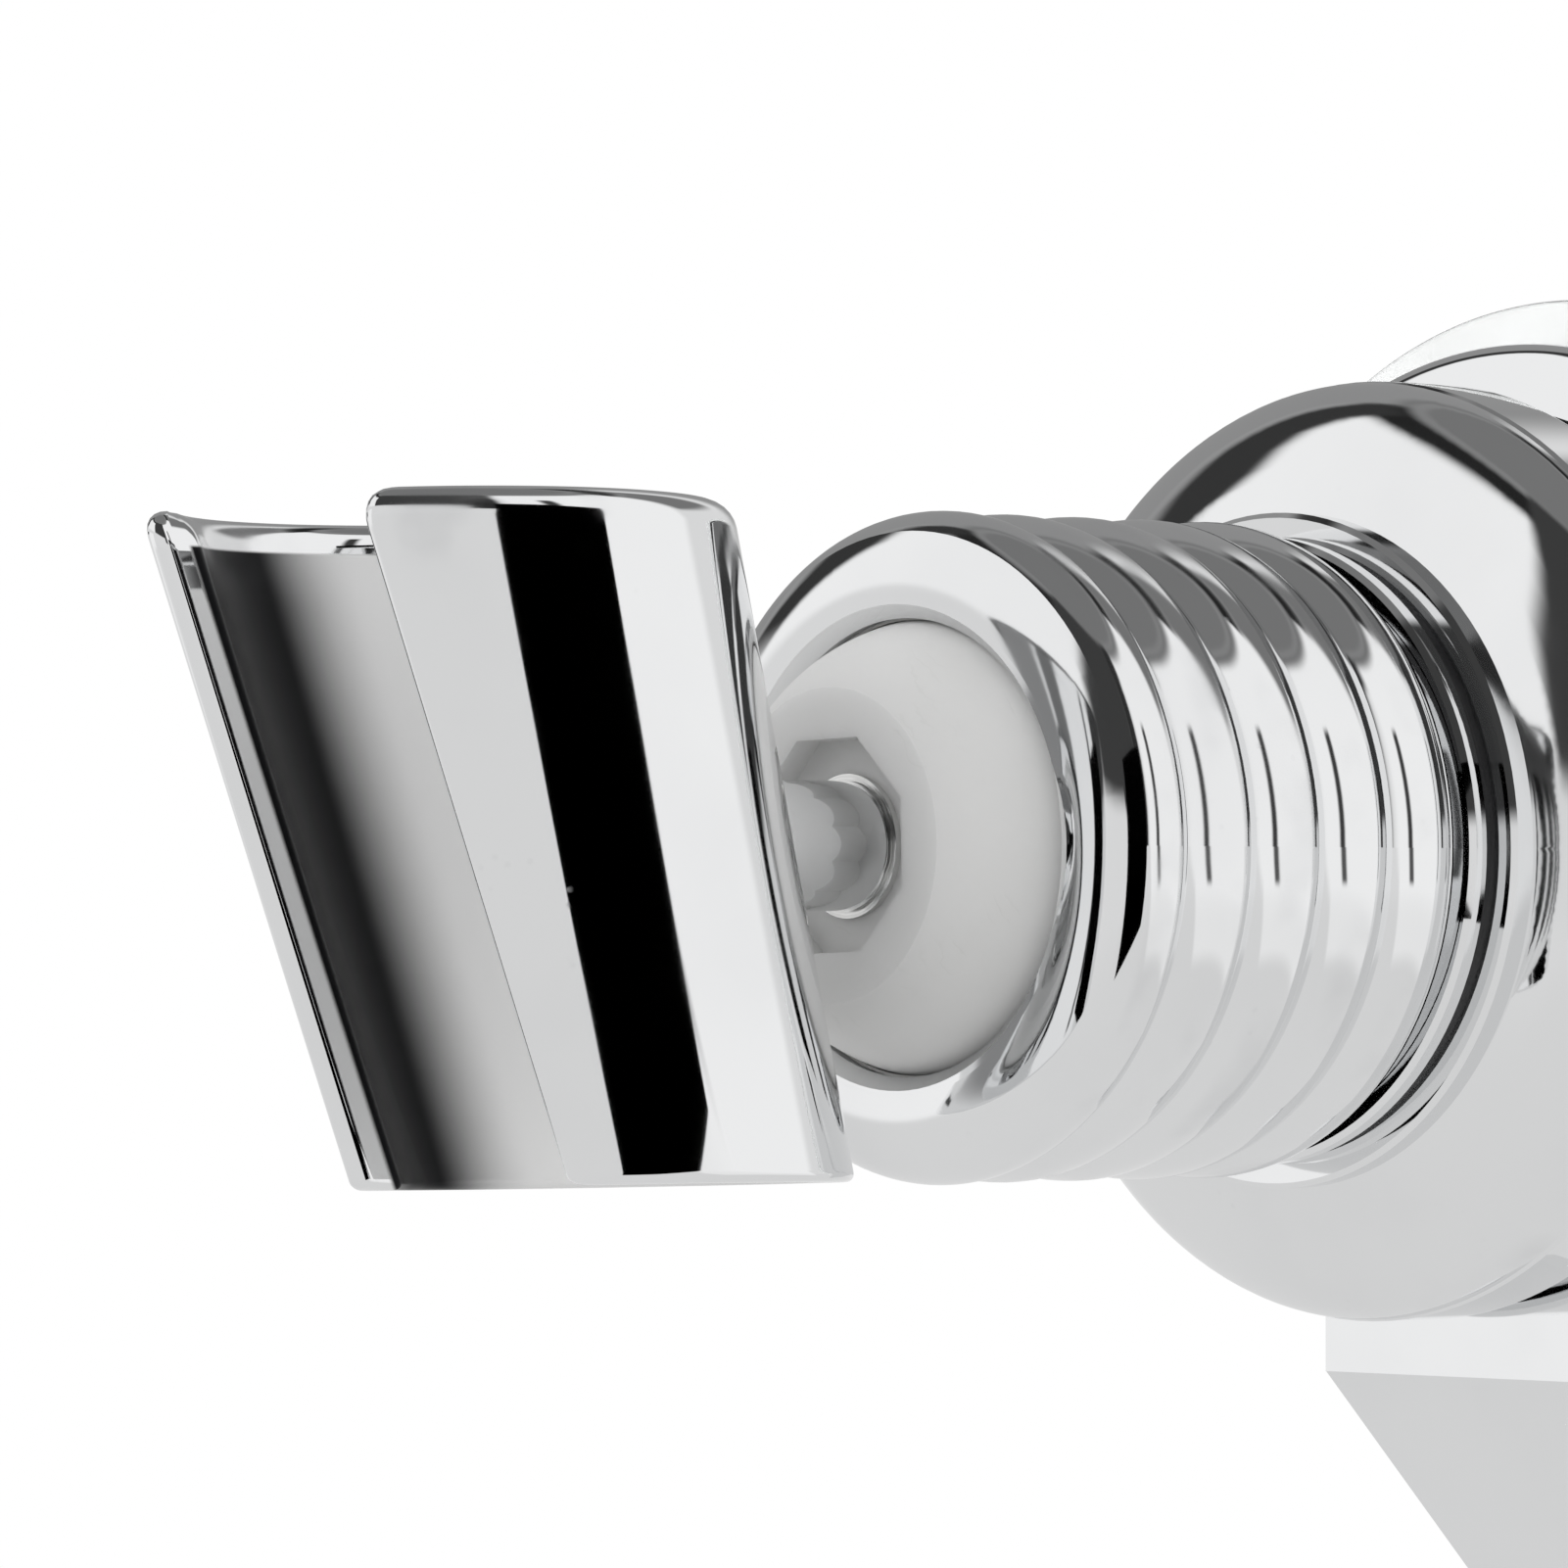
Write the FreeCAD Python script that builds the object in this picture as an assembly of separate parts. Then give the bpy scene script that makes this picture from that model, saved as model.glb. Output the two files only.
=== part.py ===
import FreeCAD, Part
import math
import os

# Hand shower holder on a vacuum wall base, in millimetres.
# The wall is the plane Y = 0. The holder stands out from it along -Y, and +Z is up.
# The origin is the centre of the wall face. A distance "out" is measured from the wall.

os.makedirs("parts", exist_ok=True)

V = FreeCAD.Vector
ORIGIN = V(0, 0, 0)
OUT = V(0, -1, 0)
UP = V(0, 0, 1)
SIDE = V(1, 0, 0)

# Clearances
running_gap = 0.05
face_gap = 0.1
free_gap = 0.3
past = 1.0
small_chamfer = 0.3

# Suction disc
disc_radius = 32.6
disc_rim_thickness = 0.9
disc_body_thickness = 2.0
disc_boss_radius = 9.0
disc_boss_height = 4.6
disc_head_skin = 1.0
disc_hollow_depth = 1.6
disc_hollow_radius = 22.0
disc_hollow_bow = 0.6
disc_rim_lip = 0.3
disc_boss_draft = 0.4

# Base plate
base_radius = 29.8
base_rim_out = 4.4
web_rear_out = 3.6
web_front_out = 5.6
base_shoulder_radius = 25.4
base_shoulder_out = 7.0
journal_radius = 24.0
journal_wall = 1.8
pedestal_radius = 12.0
base_rim_round = 0.6
pedestal_out = 12.4
pedestal_cap = 4.0
hub_radius = 8.0
window_height = 2.4
window_spare_angle = 4.0

# Lock ring and lever
ring_radius = 27.2
ring_rear_out = 11.9
ring_front_out = 17.2
skirt_radius = 26.0
ring_edge_round = 0.7
lever_half_width = 10.4
lever_front_out = 10.0
lever_thickness = 2.8
lever_bend_z = -30.6
lever_tip_z = -45.0
lever_back_slope = 25.6
lever_side_slope = 28.4
lever_tip_lip = 1.5
lever_tip_height = 2.1
lever_edge_chamfer = 0.3
lever_root = 3.0
lock_turn = 90.0

# Cam and pull stud
cam_plate_thickness = 2.0
cam_radius = 11.5
cam_wall = 1.6
cam_rise = 1.5
cam_pin_gap = 0.2
cam_top_out = 18.6
cam_lug_width = 6.0
cam_lug_depth = 1.2
stud_radius = 3.0
stud_head_radius = 6.0
stud_head_thickness = 1.6
stud_tip_spare = 2.5
stud_tip_chamfer = 0.6
pin_radius = 1.5
pin_half_length = 12.4

# Dome cover
dome_radius = 27.1
dome_bulge = 8.3
dome_rear_out = 17.3
dome_wall = 2.2
shoulder_radius = 19.4
shoulder_out = 24.6
dome_hole_radius = 10.0
dome_inner_drop = 1.8

# Ball socket housing
washer_thickness = 0.5
flange_radius = 18.0
flange_thickness = 1.4
thread_radius = 16.4
thread_chamfer = 0.5
housing_front_step = 1.3
socket_radius = 14.2
socket_floor_thickness = 3.0
oring_section = 1.0
oring_step = 4.0

# Ball
ball_radius = 13.0
ball_out = 49.3
ball_front_flat = 9.6
ball_rear_flat = 8.3
pocket_across = 11.8
pocket_depth = 1.8
seat_gap = 0.07
cup_front_step = 2.1
cup_radius = 14.1
cup_hole_radius = 8.0
cup_rear_step = 12.4
front_seat_near = 1.1
front_seat_length = 2.1
front_seat_radius = 15.0
spring_plate_thickness = 0.6
spring_height = 3.9
spring_inner_radius = 9.4

# Collar nut
collar_front_step = 4.7
collar_rear_out = 27.6
rib_count = 5
rib_crest_radius = 18.7
rib_groove_radius = 17.95
collar_face_radius = 17.6
collar_hole_radius = 13.5
collar_lip_radius = 12.75
collar_chamfer = 0.8
collar_entry = 0.4
collar_face_land = 0.4
collar_face_drop = 1.0
collar_face_bow = 0.28

# Cradle
cradle_reach = 32.1
cradle_top = 17.8
cradle_bottom = 18.6
cradle_top_radius = 15.8
cradle_bottom_radius = 13.6
cradle_wall = 2.7
cradle_lean = 16.8
slot_width = 16.4
slot_corner_round = 1.2
rim_round = 0.7
bottom_round = 0.5
stem_radius = 3.6
blind_hole_wall = 1.2
rest_tilt = 0.4
rest_roll = 2.0

# Stem screw
screw_radius = 2.0
screw_end_chamfer = 0.4
screw_tip_step = 12.4
nut_across = 7.0
nut_height = 2.8
end_washer_radius = 5.0
end_washer_thickness = 0.7
stem_washer_radius = 4.0
stem_washer_thickness = 0.4
insert_radius = 3.2

# Places worked out from the sizes above
ball_centre = V(0, -ball_out, 0)
cam_rear_out = pedestal_out + face_gap
stud_head_rear = disc_hollow_depth + disc_head_skin
boss_top_out = disc_hollow_depth + disc_boss_height
boss_room = disc_boss_radius + 2 * free_gap
cam_plate_out = cam_rear_out + cam_plate_thickness
pin_out = cam_top_out + pin_radius + cam_pin_gap
stud_tip_out = pin_out + pin_radius + stud_tip_spare
cup_rear_out = ball_out - cup_rear_step
socket_floor_out = cup_rear_out - spring_height
hub_out = socket_floor_out - socket_floor_thickness
housing_front_out = ball_out - housing_front_step
collar_front_out = ball_out + collar_front_step
cradle_out = ball_out + cradle_reach
flange_rear_out = shoulder_out + washer_thickness
flange_front_out = flange_rear_out + flange_thickness
tail_rear_out = shoulder_out - dome_wall
rib_pitch = (collar_front_out - collar_rear_out) / rib_count
pocket_floor_out = ball_out + ball_front_flat - pocket_depth
stem_rear_out = pocket_floor_out + stem_washer_thickness
ball_rear_out = ball_out - ball_rear_flat
nut_front_out = ball_rear_out - end_washer_thickness
nut_rear_out = nut_front_out - nut_height
oring_rear_out = flange_front_out + oring_step


class Outline:
    """A closed outline in radius and distance out from the wall, to be turned about the main axis."""

    def __init__(self, radius, out):
        self.edges = []
        self.first = (radius, out)
        self.here = (radius, out)

    def point(self, place):
        return V(place[0], -place[1], 0)

    def line(self, radius, out):
        end = (radius, out)
        self.edges.append(Part.makeLine(self.point(self.here), self.point(end)))
        self.here = end
        return self

    def arc(self, middle, end):
        curve = Part.Arc(self.point(self.here), self.point(middle), self.point(end))
        self.edges.append(curve.toShape())
        self.here = end
        return self

    def bulge(self, end, height):
        """An arc to end that bows out by height, to the left of the way it runs in radius and out."""
        run = (end[0] - self.here[0], end[1] - self.here[1])
        length = math.hypot(run[0], run[1])
        middle = (
            (self.here[0] + end[0]) / 2 - run[1] / length * height,
            (self.here[1] + end[1]) / 2 + run[0] / length * height,
        )
        return self.arc(middle, end)

    def turned(self):
        if math.dist(self.here, self.first) > 1e-6:
            self.line(*self.first)
        face = Part.Face(Part.Wire(self.edges))
        return face.revolve(ORIGIN, V(0, 1, 0), 360)


def cylinder(radius, rear_out, front_out):
    return Part.makeCylinder(radius, front_out - rear_out, V(0, -rear_out, 0), OUT)


def tube(outer, inner, rear_out, front_out):
    return cylinder(outer, rear_out, front_out).cut(cylinder(inner, rear_out - past, front_out + past))


def box(x_low, x_high, out_low, out_high, z_low, z_high):
    corner = V(x_low, -out_high, z_low)
    return Part.makeBox(x_high - x_low, out_high - out_low, z_high - z_low, corner)


def polygon_prism(across, sides, rear_out, front_out):
    corner = across / 2 / math.cos(math.pi / sides)
    turns = [math.pi / sides + 2 * math.pi * i / sides for i in range(sides + 1)]
    points = [V(corner * math.cos(a), -rear_out, corner * math.sin(a)) for a in turns]
    face = Part.Face(Part.makePolygon(points))
    return face.extrude(OUT * (front_out - rear_out))


def sector(outer, inner, rear_out, front_out, middle, sweep):
    """A piece of tube that spans sweep degrees, centred on the angle middle measured from +X to +Z."""
    start = math.radians(middle - sweep / 2)
    wall = Outline(inner, rear_out)
    wall.line(outer, rear_out).line(outer, front_out).line(inner, front_out).line(inner, rear_out)
    face = Part.Face(Part.Wire(wall.edges))
    face.rotate(ORIGIN, OUT, math.degrees(start))
    return face.revolve(ORIGIN, OUT, sweep)


def rest_pose(shape):
    """Tilts and rolls a piece about the ball's centre, into the pose it is stored in."""
    posed = shape.copy()
    posed.rotate(ball_centre, SIDE, -rest_tilt)
    posed.rotate(ball_centre, OUT, rest_roll)
    return posed


def save(name, shape):
    solid = shape.removeSplitter() if hasattr(shape, "removeSplitter") else shape
    print(name, solid.ShapeType, len(solid.Solids), round(solid.Volume, 1), solid.isValid())
    solid.exportStep(os.path.join("parts", name + ".step"))


# Suction disc, with a soft boss that holds the stud's head


def suction_disc():
    body = Outline(0, disc_hollow_depth)
    body.line(stud_head_radius, disc_hollow_depth)
    body.bulge((disc_hollow_radius, 0), disc_hollow_bow)
    body.line(disc_radius - disc_rim_lip, 0)
    body.arc((disc_radius, disc_rim_thickness / 2), (disc_radius - disc_rim_lip, disc_rim_thickness))
    body.line(base_radius - disc_body_thickness, disc_rim_thickness)
    body.line(base_radius - 2 * disc_body_thickness, disc_body_thickness)
    body.line(journal_radius - journal_wall - past, disc_body_thickness)
    body.line(disc_boss_radius + disc_boss_draft, disc_body_thickness + disc_hollow_depth / 2)
    body.line(disc_boss_radius, boss_top_out)
    body.line(0, boss_top_out)
    head_front = stud_head_rear + stud_head_thickness + running_gap
    head_room = cylinder(stud_head_radius + running_gap, stud_head_rear, head_front)
    neck = cylinder(stud_radius + running_gap, stud_head_rear, boss_top_out + past)
    return body.turned().cut(head_room).cut(neck)


# Base plate: rim, web, journal for the lock ring, pedestal for the cam and hub for the housing


def base_plate():
    rim = Outline(journal_radius - journal_wall, disc_body_thickness)
    rim.line(base_radius - 3.7 * base_rim_round, disc_body_thickness)
    rim.arc(
        (base_radius - 0.8 * base_rim_round, disc_body_thickness + base_rim_round),
        (base_radius, base_rim_out - base_rim_round),
    )
    rim.arc(
        (base_radius - 0.2 * base_rim_round, base_rim_out + 0.8 * base_rim_round),
        (base_radius - 1.5 * base_rim_round, base_rim_out + 1.8 * base_rim_round),
    )
    rim.arc(
        (base_shoulder_radius + 2.2 * base_rim_round, base_shoulder_out - 1.2 * base_rim_round),
        (base_shoulder_radius, base_shoulder_out),
    )
    rim.line(journal_radius, base_shoulder_out)
    rim.line(journal_radius, dome_rear_out)
    rim.line(journal_radius - journal_wall, dome_rear_out)
    plate = rim.turned()
    web = tube(journal_radius - journal_wall / 2, boss_room, web_rear_out, web_front_out)
    pedestal = tube(pedestal_radius, boss_room, web_rear_out, pedestal_out)
    bore_radius = stud_radius + running_gap
    cap_rear = pedestal_out - pedestal_cap
    pedestal = pedestal.fuse(tube(pedestal_radius, bore_radius, cap_rear, pedestal_out))
    hub = tube(hub_radius, bore_radius, cap_rear, hub_out)
    plate = plate.fuse(web).fuse(pedestal).fuse(hub)
    slot_low = pin_out - cam_rise - pin_radius - free_gap
    slot_high = pin_out + pin_radius + free_gap
    reach = hub_radius + past
    half = pin_radius + running_gap
    plate = plate.cut(box(-reach, reach, slot_low, slot_high, -half, half))
    sweep = lock_turn + math.degrees(cam_lug_width / journal_radius) + window_spare_angle
    inner = journal_radius - journal_wall - past
    for middle in (90, 270):
        turn = middle - lock_turn / 2
        window_rear = cam_rear_out - face_gap
        window = sector(journal_radius + past, inner, window_rear, cam_rear_out + window_height, turn, sweep)
        plate = plate.cut(window)
    return plate


# Lock ring with its lever: turns on the journal and drives the cam through the windows


def lever():
    slope = math.tan(math.radians(lever_back_slope))
    rear_out = lever_front_out - lever_thickness
    drop = lever_bend_z - lever_tip_z
    top_z = -skirt_radius + lever_root
    tip_front = lever_front_out - (drop - lever_tip_height) * slope
    profile = [
        (lever_front_out, top_z),
        (lever_front_out, lever_bend_z),
        (tip_front, lever_tip_z + lever_tip_height),
        (tip_front + lever_tip_lip, lever_tip_z),
        (tip_front - lever_thickness + lever_tip_lip / 2, lever_tip_z),
        (rear_out, lever_bend_z - lever_thickness / 5),
        (rear_out, top_z),
    ]
    wire = Part.makePolygon([V(-ring_radius, -out, z) for out, z in profile + profile[:1]])
    blade = Part.Face(wire).extrude(SIDE * (2 * ring_radius))
    narrow = lever_half_width - drop * math.tan(math.radians(lever_side_slope))
    half = [(lever_half_width, top_z), (lever_half_width, lever_bend_z), (narrow, lever_tip_z)]
    front = half + [(-x, z) for x, z in reversed(half)]
    outline = Part.makePolygon([V(x, ring_radius, z) for x, z in front + front[:1]])
    blade = blade.common(Part.Face(outline).extrude(OUT * (2 * ring_radius)))
    front_of_middle = rear_out + lever_thickness / 2
    long_edges = [
        edge for edge in blade.Edges
        if abs(edge.CenterOfMass.x) > narrow * 0.9 and edge.Length > 5
        and max(-vertex.Point.y for vertex in edge.Vertexes) > front_of_middle
    ]
    return blade.makeChamfer(lever_edge_chamfer, long_edges)


def lock_ring():
    band = Outline(journal_radius + running_gap, base_shoulder_out + face_gap)
    band.line(skirt_radius - small_chamfer, base_shoulder_out + face_gap)
    band.line(skirt_radius, base_shoulder_out + face_gap + small_chamfer)
    band.line(skirt_radius, ring_rear_out)
    band.line(ring_radius - ring_edge_round, ring_rear_out)
    inward = ring_edge_round * (1 - math.sqrt(0.5))
    band.arc((ring_radius - inward, ring_rear_out + inward), (ring_radius, ring_rear_out + ring_edge_round))
    band.line(ring_radius, ring_front_out - small_chamfer)
    band.line(ring_radius - small_chamfer, ring_front_out)
    band.line(journal_radius + running_gap, ring_front_out)
    ring = band.turned().fuse(lever())
    ring = ring.cut(cylinder(journal_radius + running_gap, 0, ring_front_out + past))
    half = cam_lug_width / 2 + face_gap
    reach = journal_radius + cam_lug_depth + face_gap
    return ring.cut(box(-half, half, cam_rear_out - face_gap, ring_front_out + past, -reach, reach))


def cam_ring():
    outer = journal_radius - journal_wall - free_gap
    plate = tube(outer, hub_radius + running_gap, cam_rear_out, cam_plate_out)
    half = cam_lug_width / 2
    lug_reach = journal_radius + cam_lug_depth
    lug = box(-half, half, cam_rear_out, cam_plate_out, -lug_reach, lug_reach)
    plate = plate.fuse(lug.cut(cylinder(hub_radius + running_gap, 0, hub_out)))
    crown = tube(cam_radius, cam_radius - cam_wall, cam_plate_out, cam_top_out)
    middle_radius = cam_radius - cam_wall / 2
    for turn in (0, 180):
        slope = cam_rise / (middle_radius * math.sqrt(2))
        reach = cam_radius + past
        wedge = [
            (-reach, cam_top_out - cam_rise / 2 + reach * slope),
            (reach, cam_top_out - cam_rise / 2 - reach * slope),
            (reach, cam_top_out + reach),
            (-reach, cam_top_out + reach),
        ]
        points = [V(0, -out, along) for along, out in wedge]
        cutter = Part.Face(Part.makePolygon(points + points[:1])).extrude(V(reach, 0, 0))
        cutter.rotate(ORIGIN, OUT, lock_turn / 2 + turn)
        crown = crown.cut(cutter)
    return plate.fuse(crown)


def pull_stud():
    head_rear = stud_head_rear + running_gap
    head = cylinder(stud_head_radius, head_rear, stud_head_rear + stud_head_thickness)
    shank = cylinder(stud_radius, head_rear, stud_tip_out)
    tip = [edge for edge in shank.Edges if edge.Closed and edge.CenterOfMass.y < -pin_out]
    shank = shank.makeChamfer(stud_tip_chamfer, tip)
    hole = Part.makeCylinder(pin_radius, 2 * pin_half_length, V(-pin_half_length, -pin_out, 0), SIDE)
    return head.fuse(shank).cut(hole)


def cross_pin():
    pin = Part.makeCylinder(pin_radius, 2 * pin_half_length, V(-pin_half_length, -pin_out, 0), SIDE)
    return pin.makeChamfer(small_chamfer, [edge for edge in pin.Edges if edge.Closed])


# Dome cover


def dome_height(radius):
    return dome_bulge * math.sqrt(1 - (radius / dome_radius) ** 2)


def dome_cover():
    middle_radius = dome_radius * math.cos(math.radians(22))
    radii = [dome_radius, dome_radius * math.cos(math.radians(8)), middle_radius]
    radii += [(middle_radius + shoulder_radius) / 2, shoulder_radius]
    points = [(radius, dome_rear_out + dome_height(radius)) for radius in radii]
    skin = Part.BSplineCurve()
    end_slope = dome_bulge ** 2 * shoulder_radius / dome_radius ** 2 / dome_height(shoulder_radius)
    places = [V(radius, -out, 0) for radius, out in points]
    skin.interpolate(places, InitialTangent=OUT, FinalTangent=V(-1, -end_slope, 0))
    cover = Outline(dome_radius, dome_rear_out)
    cover.edges.append(skin.toShape())
    cover.here = points[-1]
    cover.line(shoulder_radius, shoulder_out - small_chamfer)
    cover.line(shoulder_radius - small_chamfer, shoulder_out)
    cover.line(dome_hole_radius, shoulder_out)
    cover.line(dome_hole_radius, tail_rear_out)
    cover.line(shoulder_radius - dome_wall, tail_rear_out)
    inner = journal_radius - journal_wall
    cover.arc(
        (inner - dome_inner_drop * 2 / 3, tail_rear_out - dome_inner_drop),
        (inner, dome_rear_out + dome_inner_drop),
    )
    cover.line(inner, dome_rear_out)
    return cover.turned()


# Ball socket housing and what sits in it


def housing_washer():
    return tube(flange_radius - washer_thickness, dome_hole_radius, shoulder_out, flange_rear_out)


def socket_housing():
    body = Outline(hub_radius, tail_rear_out)
    body.line(dome_hole_radius - running_gap, tail_rear_out)
    body.line(dome_hole_radius - running_gap, flange_rear_out)
    body.line(flange_radius - small_chamfer, flange_rear_out)
    body.line(flange_radius, flange_rear_out + small_chamfer)
    body.line(flange_radius, flange_front_out - small_chamfer)
    body.line(flange_radius - small_chamfer, flange_front_out)
    body.line(thread_radius, flange_front_out)
    groove_front = oring_rear_out + oring_section
    body.line(thread_radius, oring_rear_out)
    body.line(thread_radius - oring_section, oring_rear_out)
    body.line(thread_radius - oring_section, groove_front)
    body.line(thread_radius, groove_front)
    body.line(thread_radius, housing_front_out - thread_chamfer)
    body.line(thread_radius - thread_chamfer, housing_front_out)
    body.line(socket_radius, housing_front_out)
    body.line(socket_radius, socket_floor_out)
    body.line(0, socket_floor_out)
    body.line(0, hub_out)
    body.line(hub_radius, hub_out)
    return body.turned()


def housing_oring():
    half = oring_section / 2
    flat = half * math.tan(math.radians(22.5))
    middle_radius = thread_radius - half
    middle_out = oring_rear_out + half
    ring = Outline(middle_radius + half, middle_out - flat)
    ring.line(middle_radius + half, middle_out + flat)
    ring.line(middle_radius + flat, middle_out + half)
    ring.line(middle_radius - flat, middle_out + half)
    ring.line(middle_radius - half, middle_out + flat)
    ring.line(middle_radius - half, middle_out - flat)
    ring.line(middle_radius - flat, middle_out - half)
    ring.line(middle_radius + flat, middle_out - half)
    return ring.turned()


def disc_spring():
    outer = socket_radius - spring_plate_thickness
    spring = Outline(spring_inner_radius, cup_rear_out - spring_plate_thickness)
    spring.line(outer, socket_floor_out)
    spring.line(outer, socket_floor_out + spring_plate_thickness)
    spring.line(spring_inner_radius, cup_rear_out)
    return spring.turned()


def ball_cup():
    cup = tube(cup_radius, cup_hole_radius, cup_rear_out, ball_out - cup_front_step)
    return cup.cut(Part.makeSphere(ball_radius + seat_gap, ball_centre))


def front_seat():
    rear = ball_out + front_seat_near
    ring = tube(front_seat_radius, ball_radius - front_seat_length, rear, rear + front_seat_length)
    return ring.cut(Part.makeSphere(ball_radius + seat_gap, ball_centre))


# Collar nut


def collar_nut():
    seat_front = ball_out + front_seat_near + front_seat_length
    nut = Outline(thread_radius + running_gap, collar_rear_out)
    nut.line(rib_groove_radius - collar_entry, collar_rear_out)
    nut.line(rib_groove_radius, collar_rear_out + collar_entry)
    for rib in range(rib_count):
        rear = nut.here[1]
        front = collar_rear_out + rib_pitch * (rib + 1)
        end = (rib_groove_radius, front)
        if rib == rib_count - 1:
            end = (collar_face_radius, front - collar_face_drop)
        nut.arc((rib_crest_radius, (rear + front) / 2), end)
    nut.bulge((collar_hole_radius + collar_face_land, collar_front_out), -collar_face_bow)
    nut.line(collar_hole_radius, collar_front_out)
    nut.line(collar_lip_radius, collar_front_out - collar_chamfer)
    nut.line(collar_lip_radius, seat_front + face_gap)
    nut.line(front_seat_radius + running_gap, seat_front + face_gap)
    nut.line(front_seat_radius + running_gap, housing_front_out + face_gap)
    nut.line(thread_radius + running_gap, housing_front_out + face_gap)
    return nut.turned()


# Ball with its eight-sided pocket, insert, washers and nut


def ball():
    body = Part.makeSphere(ball_radius, ball_centre)
    body = body.common(cylinder(ball_radius + past, ball_rear_out, ball_out + ball_front_flat))
    body = body.cut(polygon_prism(pocket_across, 8, pocket_floor_out, ball_out + ball_radius))
    bore = cylinder(insert_radius, ball_rear_out - past, pocket_floor_out + past)
    return rest_pose(body.cut(bore))


def ball_insert():
    return rest_pose(tube(insert_radius, screw_radius + running_gap, ball_rear_out, pocket_floor_out))


def stem_washer():
    return rest_pose(tube(stem_washer_radius, screw_radius + running_gap, pocket_floor_out, stem_rear_out))


def end_washer():
    return rest_pose(tube(end_washer_radius, screw_radius, nut_front_out, ball_rear_out))


def lock_nut():
    nut = polygon_prism(nut_across, 6, nut_rear_out, nut_front_out)
    return rest_pose(nut.cut(cylinder(screw_radius, nut_rear_out - past, nut_front_out + past)))


# Cradle: an oblique cone with level ends and a slot down its outer side


def cradle_centre(z):
    return cradle_out + z * math.tan(math.radians(cradle_lean))


def cradle_radius(z):
    share = (z + cradle_bottom) / (cradle_top + cradle_bottom)
    return cradle_bottom_radius + share * (cradle_top_radius - cradle_bottom_radius)


def cradle_cone(inset, extra):
    wires = []
    for z in (-cradle_bottom - extra, cradle_top + extra):
        circle = Part.makeCircle(cradle_radius(z) - inset, V(0, -cradle_centre(z), z), UP)
        wires.append(Part.Wire(circle))
    return Part.makeLoft(wires, True, True)


def stem_hole_end():
    """How far out the blind hole in the stem reaches, short of the cradle's inner wall."""
    return cradle_centre(0) - cradle_radius(0) + cradle_wall - blind_hole_wall


def near(value, target):
    return abs(value - target) < past / 10


def on_slot(edge):
    return near(abs(edge.CenterOfMass.x), slot_width / 2)


def round_slot_corners(cup):
    corners = [edge for edge in cup.Edges if on_slot(edge) and near(edge.CenterOfMass.z, cradle_top)]
    return cup.makeFillet(slot_corner_round, corners)


def round_top_and_slot(cup):
    """Rounds the top rim, the slot's corners and its long edges as one run."""
    bottom = -cradle_bottom
    edges = [
        edge for edge in cup.Edges
        if near(edge.CenterOfMass.z, cradle_top) and edge.Length > cradle_wall * 2
        or on_slot(edge) and edge.CenterOfMass.z > bottom + past and not is_across_wall(edge)
    ]
    return cup.makeFillet(rim_round, edges)


def is_across_wall(edge):
    ends = [vertex.Point for vertex in edge.Vertexes]
    return near(ends[0].z, ends[-1].z)


def round_bottom(cup):
    edges = [
        edge for edge in cup.Edges
        if near(edge.CenterOfMass.z, -cradle_bottom) and edge.Length > cradle_wall * 2
    ]
    return cup.makeFillet(bottom_round, edges)


def cradle():
    cup = cradle_cone(0, 0)
    stem = cylinder(stem_radius, stem_rear_out, stem_hole_end())
    cup = cup.fuse(stem)
    cup = cup.cut(cradle_cone(cradle_wall, past))
    height = cradle_top + cradle_bottom
    reach = 2 * cradle_top_radius
    slot = Part.makeBox(slot_width, reach, 2 * height, V(-slot_width / 2, -reach, -height))
    slot.rotate(ORIGIN, SIDE, cradle_lean)
    slot.translate(V(0, -cradle_out, 0))
    cup = cup.cut(slot)
    cup = round_bottom(round_top_and_slot(round_slot_corners(cup)))
    hole = cylinder(screw_radius + running_gap, stem_rear_out - past, stem_hole_end())
    return rest_pose(cup.cut(hole))


def cradle_screw():
    tip_out = ball_out - screw_tip_step
    shank = cylinder(screw_radius, tip_out, stem_hole_end() - free_gap)
    ends = [edge for edge in shank.Edges if edge.Closed]
    return rest_pose(shank.makeChamfer(screw_end_chamfer, ends))


save("suction_disc", suction_disc())
save("base_plate", base_plate())
save("lock_ring", lock_ring())
save("cam_ring", cam_ring())
save("pull_stud", pull_stud())
save("cross_pin", cross_pin())
save("dome_cover", dome_cover())
save("housing_washer", housing_washer())
save("socket_housing", socket_housing())
save("housing_oring", housing_oring())
save("disc_spring", disc_spring())
save("ball_cup", ball_cup())
save("front_seat", front_seat())
save("collar_nut", collar_nut())
save("ball", ball())
save("ball_insert", ball_insert())
save("stem_washer", stem_washer())
save("end_washer", end_washer())
save("lock_nut", lock_nut())
save("cradle", cradle())
save("cradle_screw", cradle_screw())
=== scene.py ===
import math

import bmesh
import bpy
from mathutils import Matrix, Vector


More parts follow.
